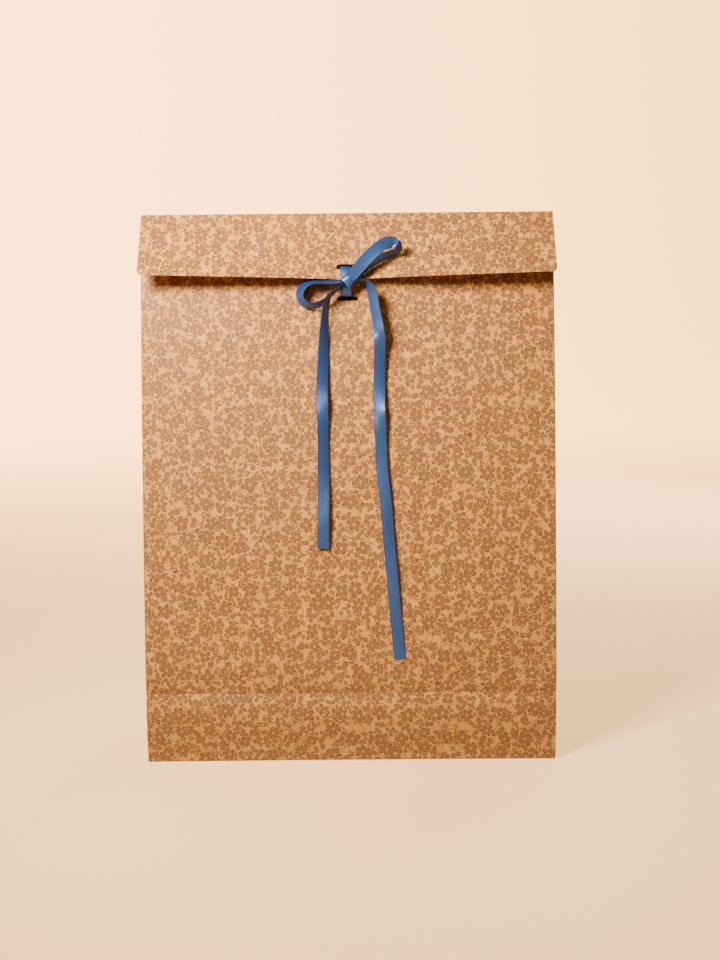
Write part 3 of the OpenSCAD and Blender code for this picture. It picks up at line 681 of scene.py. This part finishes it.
def makeBackAndFlap():
    # One sheet: up the back, over the top fold and down the front as the closing flap
    f = flapSet
    half = bag["halfWidth"] - 0.1
    xs = np.concatenate([np.linspace(-half, -half + f["corner"], f["cornerColumns"])[:-1],
                         np.linspace(-half + f["corner"], half - f["corner"], f["columns"]),
                         np.linspace(half - f["corner"], half, f["cornerColumns"])[1:]])
    r = bag["topRound"]
    centreZ = bag["topZ"] - r - 0.15
    leanTop = math.atan2(bag["halfDepth"], bag["topZ"]) + 4 * bag["backBow"] / bag["panelLength"]
    points, flats = [], []
    for x in xs:
        phi = float(flapAngle(x))
        curlHere = f["curlMid"] + f["curlMore"] * min(1, abs(x) / f["curlAt"])
        column = []
        zEnd = centreZ + r * math.sin(leanTop)
        for z in np.linspace(f["lowZ"], zEnd, f["backRows"]):
            near = np.clip((z - (zEnd - f["topReach"])) / f["topReach"], 0, 1)
            y = backY(z) + (r * math.cos(leanTop) - backY(zEnd)) * near ** 2
            y += ripple(x, z, 4.1) * np.clip((zEnd - z) / 30, 0, 1) * np.clip(z / 12, 0, 1)
            column.append((x, y, z))
        for a in np.linspace(leanTop, math.pi - phi, f["foldRows"] + 2)[1:-1]:
            column.append((x, r * math.cos(a), centreZ + r * math.sin(a)))
        beyond = max(0, abs(x) - (bag["halfWidth"] - f["corner"]))
        reach = f["length"] - f["corner"] + math.sqrt(max(0, f["corner"] ** 2 - beyond ** 2))
        for d in np.linspace(0, 1, f["flapRows"]) * (reach - r):
            share = d / f["length"]
            curl = curlHere * share ** 2 + f["wave"] * math.sin(x / 23 + 1) * math.sin(x / 57) * share
            column.append((x, -r * math.cos(phi) - d * math.sin(phi) - curl,
                           centreZ + r * math.sin(phi) - d * math.cos(phi)))
        column = np.array(column)
        points.append(column)
        flats.append(np.stack([bag["backMiddleU"] - column[:, 0], lengthsAlong(column[:, 1:])], 1))
    middle = np.transpose(np.array(points), (1, 0, 2)) * mm
    flat = np.transpose(np.array(flats), (1, 0, 2)) * mm
    piece = paperSheet("backPanelAndFlap", middle, flat, cut=("high",), flip=True)
    phi = float(flapAngle(0.0))
    d = f["slotDrop"]
    cutSlots(piece, [(0, -d * math.sin(phi) - 0.4, bag["topZ"] - d * math.cos(phi))], -phi)
    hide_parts("back_panel", "closing_flap")
    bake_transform(piece)


leafSet = {"columns": 22, "arcSteps": 7, "lowRows": 16, "rows": 70, "swell": 0.035, "swellFrom": 60,
           "blendReach": 14}


def makeLeaf(side, front):
    # A gusset leaf: it turns round the panel's edge and runs in to the gusset crease
    f = leafSet
    r = bag["foldRound"]
    sign = -1 if front else 1
    # Each row is its height and how far its inner part dips to meet the folded corner
    rows = [(bag["creaseZ"], 3.0), (bag["creaseZ"], 1.2)] if front else \
        [(z, 0) for z in np.linspace(0.6, bag["creaseZ"] - 1, f["lowRows"])]
    rows += [(z, 0) for z in np.linspace(bag["creaseZ"], mouthZ - (1.0 if front else 0.6), f["rows"])]
    points, flats = [], []
    for z, drop in rows:
        panelY = float(frontY(z) if front else backY(z))
        start = np.array([edgeX, panelY])
        if z < bag["creaseZ"]:
            share = z / bag["creaseZ"]
            tip = np.array([bag["halfWidth"] + (apex[0] - bag["halfWidth"]) * share,
                            bag["halfDepth"] + (apex[1] - bag["halfDepth"]) * share])
            past = unit(tip - start) * 2.0 * min(1, share * 3)
            tip = tip + past + np.array([-0.5, 0])
        else:
            tip = np.array([bag["halfWidth"] - float(tuckAt(z)), float(middleY(z)) + 0.12 * sign])
        centre = start + np.array([0, -sign * r])
        direction = unit(tip - centre)
        # The turn goes from facing the panel's way to facing along the leaf
        turnEnd = math.atan2(-direction[0], -sign * direction[1])
        path = [centre + r * np.array([math.cos(t), -sign * math.sin(t)])
                for t in np.linspace(-math.pi / 2, turnEnd, f["arcSteps"])]
        end = path[-1]
        length = np.linalg.norm(tip - end)
        sideways = np.array([-direction[1], direction[0]]) * sign
        swell = f["swell"] * length * np.clip((z - bag["creaseZ"]) / f["swellFrom"], 0, 1)
        for s in np.linspace(0, 1, f["columns"])[1:]:
            path.append(end + (tip - end) * s + sideways * swell * 4 * s * (1 - s))
        path = np.array(path)
        run = lengthsAlong(path)
        if drop:
            keep = np.clip((edgeX - path[:, 0]) / 4, 0, 1)
            path[:, 0] -= 0.5 * keep
            heights = z - drop * keep
        else:
            heights = np.full(len(path), z)
        points.append(np.column_stack([side * path[:, 0], path[:, 1], heights]))
        u = bag["frontEdgeU"] + run if front else bag["backEdgeU"] - run
        flats.append(np.column_stack([side * u, heights + 0.4]))
    name = ("left" if side < 0 else "right") + ("FrontLeaf" if front else "RearLeaf")
    node = ("left" if side < 0 else "right") + ("_gusset_front_leaf" if front else "_gusset_rear_leaf")
    piece = paperSheet(name, np.array(points) * mm, np.array(flats) * mm, cut=("high",),
                       flip=(side < 0) == front)
    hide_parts(node)
    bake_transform(piece)


stripSet = {"columns": 90, "rows": 26, "foldRows": 6, "flapRows": 22, "flapEnd": 15, "round": 0.6,
            "lift": 0.32}


def stripSwell(t):
    # How the strip under the crease stands out, from the crease (0) to the floor (1)
    return 6.75 * t * (1 - t) ** 2


def makeStripAndFrontFlap():
    # The strip below the crease, folded under the bag as the lower base flap
    f = stripSet
    r = f["round"]
    columns, flats = [], []
    for x in np.linspace(-edgeX - 0.35, edgeX + 0.35, f["columns"]):
        lift = f["lift"] * (1 - (x / bag["halfWidth"]) ** 2)
        fade = np.clip((bag["halfWidth"] - abs(x)) / 20, 0, 1)
        bulge = bag["stripBulge"] * (bag["stripEdge"] + (1 - bag["stripEdge"]) * fade)
        column = []
        for share in np.linspace(1, 0, f["rows"]):
            z = r + 0.15 + lift + (bag["creaseZ"] - r - 0.15 - lift) * share
            y = -bag["halfDepth"] + 0.1 + (bag["creaseY"] + bag["halfDepth"] - 0.1) * share
            y -= bulge * stripSwell(1 - share)
            y -= 0.5 * ripple(x, z, 2.2) * share * (1 - share) * 4
            column.append((x, y, z))
        for a in np.linspace(0, math.pi / 2, f["foldRows"])[1:]:
            column.append((x, -bag["halfDepth"] + 0.1 + r - r * math.cos(a),
                           r + 0.15 + lift - r * math.sin(a)))
        for y in np.linspace(-bag["halfDepth"] + 3, f["flapEnd"], f["flapRows"]):
            inset = max(0, y)
            narrow = (bag["halfWidth"] - 0.4 - inset) / bag["halfWidth"]
            fall = np.clip((y + bag["halfDepth"]) / 25, 0, 1)
            column.append((x * narrow, y, 0.15 + lift * (1 - fall)))
        column = np.array(column)
        run = lengthsAlong(column[:, 1:])
        columns.append(column)
        flats.append(np.stack([column[:, 0], bag["stripLength"] - run], 1))
    middle = np.transpose(np.array(columns), (1, 0, 2)) * mm
    flat = np.transpose(np.array(flats), (1, 0, 2)) * mm
    piece = paperSheet("frontStripAndFlap", middle, flat, cut=("high",), flip=True)
    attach(piece, "base")
    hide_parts("front_base_strip", "base_front_flap")


def makeRearFlap():
    # The upper base flap, folded in under the back
    xs = np.linspace(-edgeX - 0.2, edgeX + 0.2, 60)
    r = 0.5
    path = [(bag["halfDepth"] - r + r * math.cos(a), r + 0.45 - r * math.sin(a))
            for a in np.linspace(0, math.pi / 2, 6)]
    path += [(y, 0.45) for y in np.linspace(bag["halfDepth"] - 2, -15, 24)]
    path = np.array(path)
    run = lengthsAlong(path)
    middle = np.array([[(x * (bag["halfWidth"] - 0.4 - max(0, -y)) / bag["halfWidth"], y, z) for x in xs]
                       for y, z in path]) * mm
    flat = np.array([[(bag["backMiddleU"] - x, -d) for x in xs] for d in run]) * mm
    piece = paperSheet("rearBaseFlap", middle, flat, cut=("high",))
    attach(piece, "base")
    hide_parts("base_rear_flap")


def makeCorner(name, a, b, c, flatA, flatB, flatC, bulge, bow, node, side):
    # A three-cornered stretch of gusset between its folds, slightly swollen; bow is how far its first
    # side follows the strip's swell
    rows, cols = 16, 16
    a, b, c = (np.array(p, float) for p in (a, b, c))
    fa, fb, fc = (np.array(p, float) for p in (flatA, flatB, flatC))
    normal = unit(np.cross(b - a, c - a))
    middle, flat = [], []
    for i in np.linspace(0, 0.996, rows):
        line = np.linspace(0, 1, cols)[:, None]
        p = (a + (b - a) * line) * (1 - i) + c * i
        q = (fa + (fb - fa) * line) * (1 - i) + fc * i
        p = p + normal * bulge * 16 * line * (1 - line) * (1 - i) * i
        p = p - np.array([0, bow, 0]) * stripSwell(line) * (1 - i)
        middle.append(p * np.array([side, 1, 1]))
        flat.append(q * np.array([side, 1]))
    piece = paperSheet(name, np.array(middle) * mm, np.array(flat) * mm, flip=side < 0)
    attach(piece, "base")
    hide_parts(node)


def makeSide(side):
    word = "left" if side < 0 else "right"
    foot = bag["halfWidth"] - 0.1
    d = bag["halfDepth"] - 0.1
    rest = 0.75
    frontFoot, rearFoot = (bag["frontEdgeU"], 0), (bag["backEdgeU"], 0)
    apexFlat = (bag["gussetU"], bag["apexV"])
    makeCorner(word + "BaseTriangle", (foot, -d, rest), (foot, d, rest), apex, frontFoot, rearFoot, apexFlat,
               -0.8, 0, word + "_gusset_base_triangle", side)
    makeCorner(word + "FrontCorner", (foot, bag["creaseY"], bag["creaseZ"]), (foot, -d, rest), apex,
               (bag["frontEdgeU"], bag["stripLength"]), frontFoot, apexFlat, -0.5,
               bag["stripEdge"] * bag["stripBulge"], word + "_gusset_front_corner", side)
    # The gusset's own end, folded flat inside the base and narrowing as it goes in
    t = {"edge": 119.6, "deep": 34, "height": 0.78, "rows": 20, "columns": 24}
    rows = [(t["edge"], 39.2)] + [(t["edge"] - t["deep"] * s, 39 - t["deep"] * s)
                                  for s in np.linspace(0, 1, t["rows"])]
    grid = [[(x, y) for y in np.linspace(-half, half, t["columns"])] for x, half in rows]
    middle = np.array([[(side * x, y, t["height"]) for x, y in row] for row in grid]) * mm
    flat = np.array([[(side * (bag["gussetU"] + y), t["edge"] - x) for x, y in row] for row in grid]) * mm
    tuck = paperSheet(word + "Tuck", middle, flat, cut=("high", "first", "last"), flip=side > 0,
                      outside=paperSet["inside"])
    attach(tuck, "base")
    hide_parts("base_" + word + "_tuck")
    for front in (True, False):
        makeLeaf(side, front)


def makeSeam():
    # The glued side seam, a narrow tab against the inside of the back
    width, low, high = 15, 6, 300
    zs = np.linspace(low, high, 60)
    xs = np.linspace(-bag["halfWidth"] + 0.7, -bag["halfWidth"] + 0.7 + width, 8)
    x, z = np.meshgrid(xs, zs)
    y = backY(z) - 0.34
    near = np.clip((z - 272) / 45, 0, 1)
    middle = np.stack([x, y + 0.5 * near ** 2, z], -1) * mm
    piece = paperSheet("sideSeamTab", middle, np.stack([bag["backMiddleU"] - x, z], -1) * mm,
                       cut=("high", "low", "last"), flip=True, outside=paperSet["inside"])
    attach(piece, "back")
    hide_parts("side_seam_tab")


makeFrontPanel()
makeBackAndFlap()
makeStripAndFrontFlap()
makeRearFlap()
for bagSide in (-1, 1):
    makeSide(bagSide)
makeSeam()
print("paper made")

stageSet = {"colour": "#f4dcbc", "floor": 1.7, "bend": 1.0, "wall": 2.6, "turns": 96, "glow": "#ffbc72",
            "backGlow": 6.5, "baseGlow": 1.6, "glowFrom": 0.0, "glowTo": 1.9, "paintedLeftLight": -0.28}


def makeStage():
    # A round cove of pale card: the floor bends up into a wall. Its glow is painted light: the card gives off
    # light of its own, weak on the floor near the bag, strong on the wall behind it, and stronger towards the
    # left
    s = stageSet
    profile = [(0.001, 0), (0.3, 0), (0.8, 0), (s["floor"], 0)]
    profile += [(s["floor"] + s["bend"] * math.sin(a), s["bend"] * (1 - math.cos(a)))
                for a in np.linspace(0, math.pi / 2, 14)[1:]]
    profile += [(s["floor"] + s["bend"], s["wall"])]
    n, turns = len(profile), s["turns"]
    vertices = [(r * math.cos(t), r * math.sin(t), z) for t in np.arange(turns) * math.tau / turns
                for r, z in profile]
    faces = [(i * n + j, ((i + 1) % turns) * n + j, ((i + 1) % turns) * n + j + 1, i * n + j + 1)[::-1]
             for i in range(turns) for j in range(n - 1)]
    mesh = bpy.data.meshes.new("studioCove")
    mesh.from_pydata(vertices, [], faces)
    material = bpy.data.materials.new("paleCardCoveWithPaintedGlow")
    material.use_nodes = True
    tree = material.node_tree
    tree.nodes.clear()
    place = addNode(tree, "ShaderNodeTexCoord", out="Object")
    parts = addNode(tree, "ShaderNodeSeparateXYZ", i0=place)
    # Painted light: the glow rises from baseGlow on the floor near the bag to backGlow on the wall behind
    paintedBackGlow = addNode(tree, "ShaderNodeMapRange", {"interpolation_type": "SMOOTHERSTEP"}, out=0,
                     Value=parts.outputs[1], i1=s["glowFrom"], i2=s["glowTo"], i3=s["baseGlow"],
                     i4=s["backGlow"])
    # Painted light: the glow is stronger towards the left and weaker towards the right
    paintedLeftLight = mathNode(tree, "MULTIPLY_ADD", parts.outputs[0], s["paintedLeftLight"], 1.0)
    glow = mathNode(tree, "MULTIPLY", paintedBackGlow, paintedLeftLight)
    shader = addNode(tree, "ShaderNodeBsdfPrincipled", out=0, Base_Color=toLinear(s["colour"]), Roughness=0.8,
                     Specular_IOR_Level=0.1, Emission_Color=toLinear(s["glow"]), Emission_Strength=glow)
    addNode(tree, "ShaderNodeOutputMaterial", i0=shader)
    cove = addObject("studioCove", mesh, [material])
    smoothFaces(cove, 60)
    cove.visible_diffuse = False  # the bag's light comes from the lamps and the world alone


lightSet = {
    "key": {"place": (-0.27, -0.39, 0.52), "aim": (0.01, 0, 0.31), "size": 0.18, "power": 5.2, "spread": 132,
            "colour": "#ffe7cb"},
    "rear": {"place": (0.45, 0.80, 0.55), "aim": (0, 0, 0.15), "size": 0.6, "power": 9.0, "spread": 180,
             "colour": "#ffe9d2"},
    "floorGlow": {"place": (0.03, -0.19, 0.0006), "aim": (0.03, -0.19, 1), "size": 0.3, "power": 0.12,
                  "spread": 180, "colour": "#ffe3c2"}}
worldSet = {"colour": "#ffe7cb", "strength": 0.08}


def makeLights():
    # A small warm key from the upper left, a soft lamp behind, and the floor's own bounce
    for name, light in lightSet.items():
        data = bpy.data.lights.new(name, "AREA")
        data.size, data.energy, data.color = light["size"], light["power"], toLinear(light["colour"])[:3]
        data.spread = math.radians(light["spread"])
        lamp = bpy.data.objects.new(name, data)
        lamp.location = light["place"]
        lamp.visible_camera = False
        aim = Vector(light["aim"]) - Vector(light["place"])
        lamp.rotation_euler = aim.to_track_quat("-Z", "Y").to_euler()
        scene.collection.objects.link(lamp)
    world = bpy.data.worlds.new("studio")
    world.use_nodes = True
    background = world.node_tree.nodes["Background"]
    background.inputs[0].default_value = toLinear(worldSet["colour"])
    background.inputs[1].default_value = worldSet["strength"]
    scene.world = world


makeStage()
makeLights()
print("stage and lights made")
